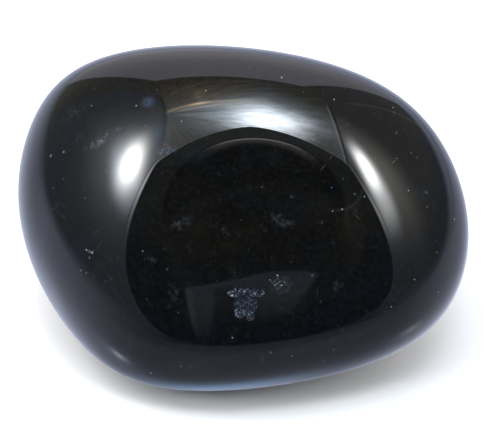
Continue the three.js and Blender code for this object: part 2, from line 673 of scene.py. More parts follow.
@dataclass(frozen=True)
class OnyxPolish:
    """Black onyx under a mirror polish, with quartz crystals where a hollow is."""

    marks: tuple[Mark, ...]
    flecks: tuple[Fleck, ...]
    body: Colour = (0.0008, 0.0008, 0.0009)
    warm_haze: Tint = Tint((0.0023, 0.0021, 0.0015), (0.44, 0.72))
    cool_haze: Tint = Tint((0.0016, 0.0022, 0.0030), (0.54, 0.30))
    haze_scale: float = 300.0
    haze_detail: float = 8.0
    haze_roughness: float = 0.7
    fleck: Colour = (0.26, 0.27, 0.29)
    clear_crystal: Colour = (0.010, 0.014, 0.021)
    milky_crystal: Colour = (0.24, 0.28, 0.35)
    refraction: float = 1.54
    shine: float = 0.5
    crystal_shine: float = 0.16
    gloss: float = 0.012
    worn_gloss: float = 0.030
    crystal_gloss: float = 0.09
    wear: Speckle = Speckle(300.0, (0.45, 0.80))
    grain: Speckle = Speckle(3200.0, (0.42, 0.70), 4.0, 0.75)
    grain_strength: float = 0.020
    wisps: Speckle = Speckle(650.0, (0.56, 0.80), 6.0, 0.7)
    wisp_strength: float = 0.22
    wisp: Colour = (0.10, 0.125, 0.16)
    mark_depth: float = 2.0
    ring_width: float = 0.045
    ring_part: Span = (-0.45, -0.90)
    dust_scale: float = 1500.0
    dust_size: float = 0.22
    dust_share: Span = (0.45, 0.90)
    dust_strength: float = 0.17

    def material(self, skin: WornSkin, heart: Array) -> bpy.types.Material:
        """The stone's material.

        Args:
            skin: the skin that the marks are placed on.
            heart: where the heart lies, in metres.

        Returns:
            A node material that reads Object coordinates, and where the crystals are
            and how milky they are from the mesh.
        """
        made = bpy.data.materials.new("polished_onyx")
        bench = NodeBench(made)
        place = bench.coordinate("Object")
        hollow = bench.attribute("hollow")
        crystal = bench.blend(bench.attribute("frost"), self.clear_crystal, self.milky_crystal)
        stone = self.stone_colour(Ground(place, skin, heart))
        shine = hollow.step(0.0, 1.0, self.shine, self.crystal_shine)
        wear = self.wear.seen(place, self.gloss, self.worn_gloss)
        shader = bench.node("ShaderNodeBsdfPrincipled")
        shader.inputs["IOR"].default_value = self.refraction
        bench.feed(shader.inputs["Specular IOR Level"], shine)
        bench.feed(shader.inputs["Base Color"], bench.blend(hollow, stone, crystal))
        bench.feed(shader.inputs["Roughness"], wear + hollow * (self.crystal_gloss - self.gloss))
        bench.finish("ShaderNodeOutputMaterial", shader)
        return made

    def stone_colour(self, ground: Ground) -> Value:
        """The colour of the stone itself: black, faint haze, marks, flecks and dust."""
        place = ground.place
        bench = place.bench
        cloudy = bench.noise(place, self.haze_scale, self.haze_detail, self.haze_roughness)
        colour = self.cool_haze.paint(self.warm_haze.paint(self.body, cloudy), cloudy)
        grain = self.grain.seen(place)
        pale = (self.wisps.seen(place) * self.wisp_strength + self.grain_strength) * grain
        colour = bench.blend(pale, colour, self.wisp)
        for mark in self.marks:
            colour = bench.blend(self.mark_mask(ground, mark, grain), colour, mark.colour)
        bright = self.dust_mask(place)
        for fleck in self.flecks:
            bright = bright.most(fleck.mask(ground))
        return bench.blend(bright, colour, self.fleck)

    def mark_mask(self, ground: Ground, mark: Mark, grain: Value) -> Value:
        """How much one mark shows at a point, from 0 to its strength.

        Args:
            ground: what the mark is laid on, and the point.
            mark: the mark.
            grain: fine noise that breaks up the clouds.

        Returns:
            The mask, worked out from the distance to the mark's middle in its half sizes.
        """
        bench = ground.place.bench
        level, uphill, normal = ground.skin.tangents(mark.azimuth, mark.elevation)
        lean = np.radians(mark.turn)
        along = level * np.cos(lean) + uphill * np.sin(lean)
        across = uphill * np.cos(lean) - level * np.sin(lean)
        axes = Matrix([along.tolist(), across.tolist(), normal.tolist()]).transposed()
        mapping = bench.node("ShaderNodeMapping", vector_type="TEXTURE")
        middle = ground.spot(mark.azimuth, mark.elevation).tolist()
        sizes = (mark.length, mark.width, self.mark_depth * mark.length)
        given = (ground.place, middle, tuple(axes.to_euler()), sizes)
        for name, value in zip(("Vector", "Location", "Rotation", "Scale"), given):
            bench.feed(mapping.inputs[name], value)
        off = Value(bench, mapping.outputs[0])
        out = bench.vector("LENGTH", off, output=1)
        if mark.kind is MarkKind.RING:
            part = bench.parts(off)[1].step(*self.ring_part)
            return out.bell(1.0, self.ring_width) * part * mark.strength
        soft = out.step(1.0, 0.0)
        if mark.kind is MarkKind.CLOUD:
            soft = soft * grain
        return soft * mark.strength

    def dust_mask(self, place: Value) -> Value:
        """Fine pale dust: the cores of a few of the cells of a Voronoi pattern."""
        bench = place.bench
        cells = bench.node("ShaderNodeTexVoronoi", feature="F1")
        bench.feed(cells.inputs["Vector"], place)
        cells.inputs["Scale"].default_value = self.dust_scale
        choice, size, _ = bench.parts(Value(bench, cells.outputs["Color"]))
        core = Value(bench, cells.outputs["Distance"]).step(size * self.dust_size, 0.0)
        return core * choice.step(*self.dust_share) * self.dust_strength


# ---------------- the pebble


@dataclass
class Pebble:
    """The stone: its skin, its hollows and its polish.

    Its grid is made of rings round a pole, given by azimuth and elevation. first_ring
    is the angle of the first ring from it, and evenness is how evenly they spread. A
    face is part of a crust when crusted_corners of its corners lie in a hollow.
    """

    name: str
    skin: WornSkin
    hollows: tuple[Hollow, ...]
    polish: OnyxPolish
    grid_pole: Span = (3.0, 0.0)
    rings: int = 256
    spokes: int = 360
    first_ring: float = 0.4
    evenness: float = 0.22
    crusted_corners: int = 3
    heart: Array = field(default_factory=lambda: np.zeros(3))

    def directions(self) -> Array:
        """Unit vectors on rings round the grid's pole, which points at the druse pocket.

        The angle from the pole is a mix of t and t^4, so that the rings crowd where the
        crystals are and spread out over the plain skin.

        Returns:
            (rings, spokes, 3), without the two poles.
        """
        t = np.linspace(0, 1, self.rings)
        spread = self.evenness * t + (1 - self.evenness) * t**4
        angle = np.radians(self.first_ring + (180 - 2 * self.first_ring) * spread)[:, None]
        turn = (np.arange(self.spokes) * 2 * np.pi / self.spokes)[None, :]
        pole = outwards(*self.grid_pole)
        side = unit(np.cross(UP, pole))
        over = np.cross(pole, side)
        ring = np.cos(turn)[..., None] * side + np.sin(turn)[..., None] * over
        return np.cos(angle)[..., None] * pole + np.sin(angle)[..., None] * ring

    def surface(self, directions: Array) -> tuple[Array, Array, Array]:
        """The finished surface: the skin, sunk into its hollows and cut flat to rest.

        Args:
            directions: unit vectors from the heart, (..., 3).

        Returns:
            The points from the heart, 1 where they lie in a hollow, and how milky the
            crystals are there.
        """
        points = self.skin.points(directions)
        depth = np.zeros(points.shape[:-1])
        frost = np.zeros(points.shape[:-1])
        for hollow in self.hollows:
            sunk, milky = hollow.depth(self.skin, points)
            depth = np.maximum(depth, sunk)
            frost = np.maximum(frost, milky)
        points = points - self.skin.normals(directions) * depth[..., None]
        height = points[..., 2]
        floor = -self.skin.rest_depth
        shrink = np.where(height < floor, floor / np.minimum(height, -TINY * MM), 1.0)
        return points * shrink[..., None], (depth > 0).astype(float), frost

    def build(self, low: Vector, high: Vector) -> bpy.types.Object:
        """Makes the stone's mesh where its solid is.

        Args:
            low: the lowest corner of the solid's box.
            high: its highest corner.

        Returns:
            The stone, dressed.
        """
        grid = self.directions()
        pole = outwards(*self.grid_pole)
        directions = np.concatenate([pole[None], grid.reshape(-1, 3), -pole[None]])
        points, hollow, frost = self.surface(directions)
        middle = (points.min(axis=0) + points.max(axis=0)) / 2
        self.heart = np.array([(low.x + high.x) / 2, (low.y + high.y) / 2, low.z])
        self.heart -= np.array([middle[0], middle[1], -self.skin.rest_depth])
        mesh = bpy.data.meshes.new(self.name)
        mesh.from_pydata((points + self.heart).tolist(), [], self.faces())
        for name, numbers in (("hollow", hollow), ("frost", frost)):
            mesh.attributes.new(name, "FLOAT", "POINT").data.foreach_set("value", numbers)
        self.soften(mesh, hollow)
        mesh.materials.append(self.polish.material(self.skin, self.heart))
        return placed(self.name, mesh)

    def faces(self) -> list[tuple[int, ...]]:
        """Quads between the rings, and a fan of triangles round each pole."""
        index = 1 + np.arange(self.rings * self.spokes).reshape(self.rings, self.spokes)
        turned = np.roll(index, -1, axis=1)
        quads = np.stack([index[:-1], index[1:], turned[1:], turned[:-1]], axis=-1)
        last = self.rings * self.spokes + 1
        first_fan = [(0, a, b) for a, b in zip(index[0].tolist(), turned[0].tolist())]
        last_fan = [(last, b, a) for a, b in zip(index[-1].tolist(), turned[-1].tolist())]
        return first_fan + [tuple(quad) for quad in quads.reshape(-1, 4).tolist()] + last_fan

    def soften(self, mesh: bpy.types.Mesh, hollow: Array) -> None:
        """Shades the skin smooth and leaves the crystals their flat faces."""
        corners = np.zeros(len(mesh.loops), dtype=np.int32)
        mesh.loops.foreach_get("vertex_index", corners)
        starts = np.zeros(len(mesh.polygons), dtype=np.int32)
        mesh.polygons.foreach_get("loop_start", starts)
        crusted = np.add.reduceat(hollow[corners], starts) >= self.crusted_corners
        mesh.polygons.foreach_set("use_smooth", ~crusted)
        mesh.update()


# ---------------- the studio


@dataclass(frozen=True)
class FloorLight:
    """The light of a floor: one colour in front of the stone and another beside it."""

    front: Colour
    side: Colour
    left_turn: Span
    right_turn: Span

    def light(self, turn: Value) -> Value:
        """Its colour at an angle from the front, in degrees."""
        beside = turn.step(*self.left_turn).most(turn.step(*self.right_turn))
        return turn.bench.blend(beside, self.front, self.side)


NEAR_FLOOR = FloorLight((0.41, 0.44, 0.55), (0.94, 1.0, 1.28), (-28.0, -80.0), (42.0, 85.0))
FAR_FLOOR = FloorLight((0.11, 0.15, 0.21), (0.80, 0.88, 1.16), (-18.0, -72.0), (25.0, 85.0))


@dataclass(frozen=True)
class PaperSheet:
    """The white sheet under the stone, cut off in front where the tent opens.

    It is matt white to look at. What the stone mirrors of it is painted light, an
    emission that only glossy rays see: it dims in front, where it leaves the light,
    and far away, carries a painted shadow close to the stone, and has painted glints
    and pools of light. Places on it are measured from the stone's heart, those of the
    painted light spots in millimetres.
    """

    half_width: float = 400 * MM
    back: float = 400 * MM
    front: float = 50 * MM
    gap: float = 0.02 * MM
    white: Colour = (0.95, 0.95, 0.95)
    near: FloorLight = NEAR_FLOOR
    beyond: FloorLight = FAR_FLOOR
    behind: Colour = (0.68, 0.74, 0.95)
    back_turn: Span = (100.0, 150.0)
    left_back_turn: Span = (-89.0, -112.0)
    # painted shade of the mirrored paper: dimmer in front and far away
    dim: Tint = Tint((0.24, 0.30, 0.385), (-24 * MM, -38 * MM))
    dim_turn: Span = (60.0, 25.0)
    # painted shadow: the mirrored paper is darker close to the stone
    painted_contact_shadow: Tint = Tint((0.15, 0.19, 0.26), (20 * MM, 7 * MM), 0.6)
    painted_contact_shadow_turn: Span = (20.0, 65.0)
    far: Tint = Tint((0.36, 0.40, 0.50), (70 * MM, 260 * MM), 0.5)
    edge_reach: Span = (-44 * MM, -50 * MM)
    # painted glints and pools of light on the paper that the stone mirrors
    painted_light_spots: tuple[Glow, ...] = (
        Glow(-1.0, -7.9, 5.5, 1.5, 1.0, colour=(0.16, 0.42, 0.75)),
        Glow(-5.5, -17.5, 3.0, 4.0, 1.0, colour=(0.09, 0.09, 0.10)),
        Glow(-12.4, -10.0, 1.3, 0.8, 1.0, colour=(1.7, 2.0, 2.3)),
        Glow(-12.8, -9.6, 3.0, 2.2, 1.0, colour=(0.30, 0.36, 0.45)),
        Glow(16.4, -8.2, 1.6, 1.3, 1.0, colour=(0.70, 0.75, 0.85)),
    )

    def build(self, heart: Array) -> bpy.types.Object:
        """Makes the sheet.

        Args:
            heart: the stone's heart, which the front edge is measured from.

        Returns:
            The sheet, dressed.
        """
        mesh = bpy.data.meshes.new("paper_sheet")
        x, y, z = self.half_width, float(heart[1]) - self.front, -self.gap
        corners = [(-x, y, z), (x, y, z), (x, self.back, z), (-x, self.back, z)]
        mesh.from_pydata(corners, [], [(0, 1, 2, 3)])
        mesh.materials.append(self.material(heart))
        return placed("paper_sheet", mesh)

    def material(self, heart: Array) -> bpy.types.Material:
        """Matt white paper, which glossy rays see as the painted light that this class
        describes.
        """
        paper = bpy.data.materials.new("white_paper")
        bench = NodeBench(paper)
        place = bench.vector("SUBTRACT", bench.coordinate("Object"), heart.tolist())
        x, y, _ = bench.parts(place)
        matt = bench.shader("ShaderNodeBsdfDiffuse", self.white)
        # glossy rays see painted light, an emission, instead of the lit matt paper
        mirrored = bench.shader("ShaderNodeEmission", self.mirrored(x, y))
        either = bench.choice("Is Glossy Ray", mirrored, matt)
        bench.finish("ShaderNodeOutputMaterial", either)
        return paper

    def mirrored(self, x: Value, y: Value) -> Value:
        """The painted light, with painted shade, that the stone mirrors from a place on the
        sheet.
        """
        turn = x.bench.degrees(x, y * -1.0)
        off_front = abs(turn)
        reach = x.bench.length(x, y)
        back = off_front.step(*self.back_turn).most(turn.step(*self.left_back_turn))
        light = x.bench.blend(back, self.near.light(turn), self.behind)
        # painted shade: the mirrored paper is dimmer in front
        light = self.dim.paint(light, y, off_front.step(*self.dim_turn))
        # painted shadow on the mirrored paper round the stone
        light = self.painted_contact_shadow.paint(light, reach, off_front.step(*self.painted_contact_shadow_turn))
        # painted light spots and painted dimming far away on the mirrored paper
        light = lit_by(self.painted_light_spots, self.far.paint(light, reach), x / MM, y / MM)
        return x.bench.blend(y.step(*self.edge_reach), light, self.beyond.light(turn))


@dataclass(frozen=True)
class Aim:
    """One direction of light, in the measures that the tent is described by.

    towards is the direction itself, x, y and z are its parts, and ahead is -y. azimuth
    and elevation are in degrees. u and w are where it meets a plane one unit in front,
    to the right and up. p and q are where it meets a ceiling one unit above, to the
    right and to the front.
    """

    bench: NodeBench
    towards: Value
    x: Value
    y: Value
    z: Value
    ahead: Value
    azimuth: Value
    elevation: Value
    u: Value
    w: Value
    p: Value
    q: Value

    @classmethod
    def read(cls, bench: NodeBench, towards: Value) -> "Aim":
        """Works out the measures of a direction."""
        x, y, z = bench.parts(towards)
        ahead = y * -1.0
        front, above = ahead.most(TINY), z.most(TINY)
        elevation = bench.math("DEGREES", bench.math("ARCSINE", z))
        return cls(bench, towards, x, y, z, ahead, bench.degrees(x, ahead), elevation,
                   x / front, z / front, x / above, ahead / above)

    def backwards(self, slope: float, reach: float) -> Value:
        """How far back it points, more so the higher it is: (y + slope z) / reach."""
        return (self.y + self.z * slope) / reach


@dataclass(frozen=True)
class SideWalls:
    """The cloth at both sides, dim near the floor.

    The left wall has a darker band towards the back, and the right one a pale crease.
    Each of the two lies along a line, which has a slope and a reach.
    """

    left: Colour = (0.26, 0.285, 0.36)
    left_high: Tint = Tint((0.34, 0.355, 0.42), (2.0, 28.0))
    left_behind: Tint = Tint((0.30, 0.31, 0.34), (-95.0, -110.0))
    band: Tint = Tint((0.33, 0.32, 0.27), (-0.01, 0.02), 0.8)
    band_line: Span = (0.583, 0.769)
    right: Colour = (0.23, 0.25, 0.31)
    right_high: Tint = Tint((0.365, 0.365, 0.37), (8.0, 30.0))
    crease: Line = Line((0.62, 0.61, 0.59), 0.0, 0.02)
    crease_line: Span = (0.612, 1.072)
    crease_top: Span = (64.0, 60.0)
    middle: Span = (-0.01, 0.01)

    def dress(self, aim: Aim) -> Value:
        """The colour of the walls in one direction."""
        left = self.left_high.paint(self.left, aim.elevation)
        left = self.left_behind.paint(left, aim.azimuth)
        left = self.band.paint(left, aim.backwards(*self.band_line) + aim.x)
        right = self.right_high.paint(self.right, aim.elevation)
        off = aim.backwards(*self.crease_line) - aim.x
        right = self.crease.paint(right, off, aim.elevation.step(*self.crease_top))
        return aim.bench.blend(aim.x.step(*self.middle), left, right)


@dataclass(frozen=True)
class Ceiling:
    """The cloth overhead: lit by the lamps in front, and gathered into folds at the left.

    At q in front, its left side is at -(left_side + left_curve (q - left_bend)^2) and
    its right side at right_side + right_curve q^2. The folds fan out from one place,
    and each is a line at its own angle in degrees.
    """

    cloth: Colour = (0.175, 0.155, 0.09)
    ends: Span = (-0.2, 1.0)
    left_side: float = 0.503
    left_curve: float = 0.7
    left_bend: float = 0.33
    right_side: float = 0.36
    right_curve: float = 0.27
    cover: Span = (-0.004, 0.004)
    gather: Span = (-0.50, 0.45)
    folds: tuple[Line, ...] = (
        Line(PLAIN, -9.0, 5.0, 2.2),
        Line(PLAIN, 3.0, 2.5, -0.5),
        Line(PLAIN, 14.0, 7.0, 0.7),
    )
    fold_part: Window = Window((0.02, 0.12), (0.62, 0.36))
    ridge: Line = Line((0.20, 0.19, 0.15), 0.05, 0.012)
    ridge_right: Span = (0.15, -0.10)
    lamps: tuple[Glow, ...] = (
        Glow(-0.062, 0.629, 0.74, 0.378, 1.45, 7.0, 0.4, (0.98, 1.0, 1.03)),
        Glow(0.013, 0.519, 0.175, 0.108, 20.0, 6.9, 0.65, (0.86, 1.03, 1.22)),
        Glow(0.054, 0.574, 0.177, 0.133, 12.5, 15.0, 1.47, (0.97, 1.0, 1.04)),
        Glow(-0.26, 0.28, 0.18, 0.15, 0.40, colour=(1.0, 0.55, 0.05)),
        Glow(-0.29, 0.29, 0.025, 0.07, 0.7, colour=(1.0, 0.72, 0.4)),
    )
    wrinkles: Speckle = Speckle(1.0, (0.30, 0.70), 5.0, 0.7)
    wrinkle_turn: float = 0.30
    wrinkle_reach: float = 7.0
    wrinkle_depth: Span = (0.70, 1.22)
    streak: Line = Line((2.6, 1.9, 1.1), 0.353, 0.012, 1.1)
    streak_curve: float = 0.32
    streak_part: Window = Window((-0.53, -0.46), (0.08, -0.25))
    streak_peak: Line = Line(PLAIN, -0.30, 0.05, 2.0)
    left_seam: Line = Line((0.07, 0.07, 0.08), 0.002, 0.012, 0.75)
    left_seam_part: Window = Window((0.2, 0.3), (0.85, 0.6))
    right_seam: Line = Line((0.07, 0.07, 0.08), -0.012, 0.007, 0.75)
    right_seam_light: Line = Line((0.86, 0.90, 0.95), 0.006, 0.007)
    right_seam_part: Window = Window((0.2, 0.3), (0.95, 0.8))

    def sides(self, aim: Aim) -> tuple[Value, Value]:
        """How far a direction is inside the left side and the right side."""
        back, front = self.ends
        along = aim.q.least(front).most(back)
        bend = along - self.left_bend
        left = bend * bend * self.left_curve + self.left_side + aim.p
        right = along * along * self.right_curve + self.right_side - aim.p
        return left, right

    def dress(self, aim: Aim, wall: Value) -> Value:
        """The walls' colour with the ceiling over it."""
        left, right = self.sides(aim)
        roof = self.gathered(aim)
        line = aim.q - aim.p * aim.p * self.streak_curve
        shown = self.streak_part.shown(aim.p) * (self.streak_peak.amount(aim.p) + 1.0)
        roof = self.streak.light(roof, line, shown)
        colour = aim.bench.blend(left.least(right).step(*self.cover), wall, roof)
        return self.left_seam.paint(colour, left, self.left_seam_part.shown(aim.q))

    def gathered(self, aim: Aim) -> Value:
        """The cloth with its folds, its ridge and the light of the lamps, finely wrinkled.

        Both the folds and the wrinkles run out from where the cloth is gathered.
        """
        across, along = aim.p - self.gather[0], aim.q - self.gather[1]
        turn, reach = aim.bench.degrees(along, across), aim.bench.length(across, along)
        roof = self.cloth
        for fold in self.folds:
            roof = fold.light(roof, turn, self.fold_part.shown(reach))
        line = aim.q - aim.p * aim.p
        roof = self.ridge.light(roof, line, aim.p.step(*self.ridge_right))
        roof = lit_by(self.lamps, roof, aim.p, aim.q)
        place = aim.bench.joined(turn * self.wrinkle_turn, reach * self.wrinkle_reach)
        return aim.bench.scaled(roof, self.wrinkles.seen(place, *self.wrinkle_depth))

    def with_right_seam(self, aim: Aim, colour: Value) -> Value:
        """Adds the seam along the right side: a dark line beside a light one."""
        _, right = self.sides(aim)
        shown = self.right_seam_part.shown(aim.q)
        colour = self.right_seam.paint(colour, right, shown)
        return self.right_seam_light.light(colour, right, shown)


@dataclass(frozen=True)
class BackSheet:
    """The bright white sheet that hangs from the ceiling behind the stone."""

    white: Colour = (1.0, 0.99, 1.10)
    climb: Span = (5.0, 38.0)
    strength: Span = (0.98, 1.37)
    ends: Span = (0.15, 0.6)
    end_strength: float = 0.88
    left_line: Span = (0.692, 1.475)
    right_line: Span = (0.353, 1.555)
    top_slope: float = 0.045
    cover: Span = (-0.012, 0.012)
    shade: Line = Line((0.30, 0.30, 0.25), -0.02, 0.02, 0.25)

    def dress(self, aim: Aim, colour: Value) -> Value:
        """The tent's colour with the sheet over it."""
        left = aim.backwards(*self.left_line) + aim.x
        right = aim.backwards(*self.right_line) - aim.x
        inside = left.least(right).least(aim.y - aim.z * self.top_slope)
        strength = aim.elevation.step(*self.climb, *self.strength)
        strength = strength * abs(aim.x).step(*self.ends, 1.0, self.end_strength)
        sheet = aim.bench.scaled(self.white, strength)
        colour = self.shade.paint(colour, inside)
        return aim.bench.blend(inside.step(*self.cover), colour, sheet)


@dataclass(frozen=True)
class Slant:
    """A straight line through (u, w) on the plane in front, which faces (right, up)."""

    u: float
    w: float
    right: float
    up: float

    def off(self, aim: Aim) -> Value:
        """How far off a direction is, times the length of (right, up). Behind is below 0."""
        return (aim.u - self.u) * self.right + (aim.w - self.w) * self.up


@dataclass(frozen=True)
class PaleTable:
    """A pale table in the room, with a dark gap in its front and a stripe at its left.

    Its top edge rises to the right, is level and falls, and both of its sides lean out.
    It fades downwards, and higher up to the right of fade_turn.
    """

    pale: Colour = (0.24, 0.30, 0.36)
    tops: tuple[Slant, ...] = (
        Slant(0.03, 0.362, -0.262, 1.0),
        Slant(0.0, 0.362, 0.0, 1.0),
        Slant(0.19, 0.362, 0.2, 1.0),
    )
    top_edge: Span = (0.008, -0.012)
    left: Slant = Slant(-0.372, 0.256, 1.0, 0.235)
    left_edge: Span = (-0.008, 0.012)
    right: Slant = Slant(0.097, 0.052, -0.844, 0.537)
    right_edge: Span = (-0.02, 0.02)
    fade_turn: Span = (-0.215, -0.205)
    fade_from: Span = (-0.2, 0.03)
    fade_to: Span = (0.22, 0.27)
    gap: Window = Window((-0.235, -0.20), (-0.02, -0.12))
    gap_top: Span = (0.30, 0.25)
    gap_depth: float = 0.75
    stripe: Line = Line((0.13, 0.13, 0.143), 0.018, 0.016)
    stripe_part: Window = Window((-0.15, 0.15), (0.262, 0.245))

    def dress(self, aim: Aim, room: Value) -> Value:
        """The room with the table in it."""
        u, w = aim.u, aim.w
        rising, level, falling = (top.off(aim) for top in self.tops)
        from_left = self.left.off(aim)
        shown = rising.most(level).most(falling).step(*self.top_edge)
        shown = shown * from_left.step(*self.left_edge)
        shown = shown * self.right.off(aim).step(*self.right_edge)
        fade_from = u.step(*self.fade_turn, *self.fade_from)
        fade_to = u.step(*self.fade_turn, *self.fade_to)
        gap = self.gap.shown(u) * w.step(*self.gap_top) * self.gap_depth
        shown = shown * w.step(fade_from, fade_to) * (1.0 - gap)
        room = aim.bench.blend(shown, room, self.pale)
        return self.stripe.light(room, from_left, self.stripe_part.shown(w))


@dataclass(frozen=True)
class DimRoom:
    """The dim room beyond the opening: a table, a post, an arc of light and vague patches.

    It is placed on the plane one unit in front, but the faint disc and the patches by
    azimuth and elevation. A negative part of a patch's colour takes light away.
    """

    low: Colour = (0.032, 0.056, 0.090)
    middle: Tint = Tint((0.052, 0.062, 0.076), (-12.0, 12.0))
    high: Tint = Tint((0.050, 0.052, 0.047), (14.0, 30.0))
    mottle: Tint = Tint((0.092, 0.092, 0.064), (14.0, 30.0))
    mottling: Speckle = Speckle(7.0, (0.46, 0.74), 4.0, 0.6)
    arc_middle: Span = (-0.05, 0.88)
    arc_size: Span = (0.555, 0.57)
    arc: Tint = Tint((0.68, 0.61, 0.58), (0.80, 0.99))
    arc_end: Span = (1.012, 0.99)
    arc_part: Window = Window((-0.50, -0.25), (0.46, 0.26))
    arc_rise: Span = (1.10, 1.2)
    rim: Line = Line((1.9, 1.9, 1.95), 0.985, 0.016)
    rim_part: Window = Window((-0.52, -0.15), (0.40, 0.15))
    rim_rise: Span = (1.08, 1.4)
    outside: Span = (1.0, 1.05)
    surround: Tint = Tint((0.085, 0.092, 0.085), (0.35, 0.80))
    above: Tint = Tint((0.13, 0.15, 0.15), (1.10, 1.50))
    disc_middle: Span = (1.0, 25.0)
    disc_size: Span = (27.0, 17.0)
    disc: Tint = Tint((0.012, 0.010, 0.007), (1.05, 0.95))
    disc_rim: Line = Line((0.028, 0.025, 0.020), 1.0, 0.09)
    table: PaleTable = PaleTable()
    post: Line = Line((0.02, 0.025, 0.035), 0.0, 0.018, 0.5)
    post_line: Slant = Slant(-0.53, 0.27, 1.0, 0.28)
    post_top: Span = (0.5, 0.3)
    patches: tuple[Glow, ...] = (
        Glow(-26.5, 47.5, 4.5, 1.9, 1.0, 15.0, colour=(0.05, 0.14, 0.24)),
        Glow(4.0, 50.0, 5.0, 2.0, 1.0, colour=(0.02, 0.05, 0.09)),
        Glow(-21.5, 31.0, 5.0, 8.0, 1.0, colour=(0.042, 0.040, 0.036)),
        Glow(17.0, 34.0, 8.0, 4.5, 1.0, colour=(0.042, 0.038, 0.030)),
        Glow(26.0, 28.5, 3.5, 4.0, 1.0, colour=(0.014, 0.006, -0.006)),
    )

    def light(self, aim: Aim) -> Value:
        """The light of the room in one direction."""
        room = self.middle.paint(self.low, aim.elevation)
        room = self.high.paint(room, aim.elevation)
        room = self.mottle.paint(room, aim.elevation, self.mottling.seen(aim.towards))
        room = self.with_arc(aim, room)
        out = aim.bench.ellipse(aim.azimuth, aim.elevation, self.disc_middle, self.disc_size)
        room = self.disc_rim.light(self.disc.light(room, out), out)
        room = self.table.dress(aim, room)
        room = self.post.paint(room, self.post_line.off(aim), aim.w.step(*self.post_top))
        return lit_by(self.patches, room, aim.azimuth, aim.elevation)

    def with_arc(self, aim: Aim, room: Value) -> Value:
        """Adds the arc, part of an ellipse with a bright rim, and the glow round it."""
        out = aim.bench.ellipse(aim.u, aim.w, self.arc_middle, self.arc_size)
        outside = out.step(*self.outside)
        room = self.surround.light(room, aim.w, outside)
        room = self.above.light(room, aim.w, outside)
        shown = out.step(*self.arc_end) * self.arc_part.shown(aim.u)
        room = self.arc.light(room, out, shown * aim.w.step(*self.arc_rise))
        shown = self.rim_part.shown(aim.u) * aim.w.step(*self.rim_rise)
        return self.rim.light(room, out, shown)


@dataclass(frozen=True)
class Opening:
    """The rounded opening in the front of the tent, on the plane one unit in front.

    Its middle line leans and curves with height, it narrows by taper, and its upper and
    lower halves have their own heights and roundness.
    """

    across: float = -0.07
    height: float = 1.088
    lean: float = -0.051
    curve: float = 0.045
    half_width: float = 0.743
    taper: float = -0.171
    narrowest: float = 0.05
    upper: float = 0.58
    lower: float = 1.28
    upper_roundness: float = 1.545
    lower_roundness: float = 3.388
    join: float = 0.22
    outermost: float = 9.0
    horizon: float = 0.02
    cover: Span = (1.006, 0.994)
    hem: Colour = (0.45, 0.47, 0.52)
    hem_line: Span = (1.018, 0.013)
    hem_lamps: tuple[Glow, ...] = (
        Glow(-39.0, 37.5, 5.0, 4.5, 3.0),
        Glow(35.5, 32.0, 5.0, 6.0, 1.3),
    )
    hem_climb: Span = (0.45, 0.70)
    shadow: Line = Line((0.12, 0.12, 0.14), 1.048, 0.007, 0.55)
    room: DimRoom = DimRoom()

    def edge(self, aim: Aim) -> Value:
        """Under 1 inside the opening, 1 on its edge, and more outside.

        It is (|across / half width|^n + |up / half height|^n)^(1 / n), n the roundness,
        measured from the middle line. It is outermost at most, and so it is behind.
        """
        rise = aim.w - self.height
        off = aim.u - self.across - rise * self.lean - rise * rise * self.curve
        wide = rise * (self.taper * self.half_width) + self.half_width
        wide = wide.most(self.narrowest)
        is_upper = aim.bench.math("GREATER_THAN", rise, 0.0)
        tall = is_upper * (self.upper - self.lower) + self.lower
        roundness = rise.step(-self.join, self.join, self.lower_roundness, self.upper_roundness)
        total = (abs(off) / wide).power(roundness) + (abs(rise) / tall).power(roundness)
        edge = total.power(aim.bench.math("DIVIDE", 1.0, roundness)).least(self.outermost)
        return edge.most(aim.ahead.step(self.horizon, 0.0, 0.0, self.outermost))

    def dress(self, aim: Aim, colour: Value) -> Value:
        """The tent's colour with the opening, its hem and the room in it."""
        edge = self.edge(aim)
        climb = aim.w.step(*self.hem_climb)
        colour = self.shadow.paint(colour, edge, climb)
        hem = lit_by(self.hem_lamps, self.hem, aim.azimuth, aim.elevation)
        colour = aim.bench.lit(colour, edge.bell(*self.hem_line) * climb, hem)
        return aim.bench.blend(edge.step(*self.cover), colour, self.room.light(aim))


@dataclass(frozen=True)
class LightTent:
    """The light tent round the stone, as a world that depends on direction alone."""

    lamps: tuple[Glow, ...]
    walls: SideWalls = SideWalls()
    ceiling: Ceiling = Ceiling()
    back_sheet: BackSheet = BackSheet()
    opening: Opening = Opening()
    floor: FloorLight = FAR_FLOOR
    floor_climb: Span = (5.0, -7.0)
    floor_level: Span = (-4.0, 10.0)
    floor_turn: Span = (58.0, 122.0)
    left_floor: float = 2.5
    left_floor_end: Span = (0.02, -0.02)
    backdrop: float = 1.2

    def build(self) -> None:
        """Makes the world and gives it to the scene. The camera itself sees plain white."""
        world = bpy.data.worlds.new("light_tent")
        bench = NodeBench(world)
        aim = Aim.read(bench, bench.coordinate("Generated"))
        tent = bench.shader("ShaderNodeBackground", self.light(aim))
        plain = bench.shader("ShaderNodeBackground", PLAIN)
        plain.inputs["Strength"].default_value = self.backdrop
        either = bench.choice("Is Camera Ray", plain, tent)
        bench.finish("ShaderNodeOutputWorld", either)
        bpy.context.scene.world = world

    def light(self, aim: Aim) -> Value:
        """The colour of the light from one direction."""
        colour = self.ceiling.dress(aim, self.walls.dress(aim))
        colour = lit_by(self.lamps, colour, aim.azimuth, aim.elevation)
        colour = self.ceiling.with_right_seam(aim, colour)
        colour = self.back_sheet.dress(aim, colour)
        level = aim.azimuth.step(*self.floor_turn, *self.floor_level)
        level = level + aim.x.step(*self.left_floor_end, 0.0, self.left_floor)
        on_floor = (aim.elevation - level).step(*self.floor_climb)
        colour = aim.bench.blend(on_floor, colour, self.floor.light(aim.azimuth))
        return self.opening.dress(aim, colour)


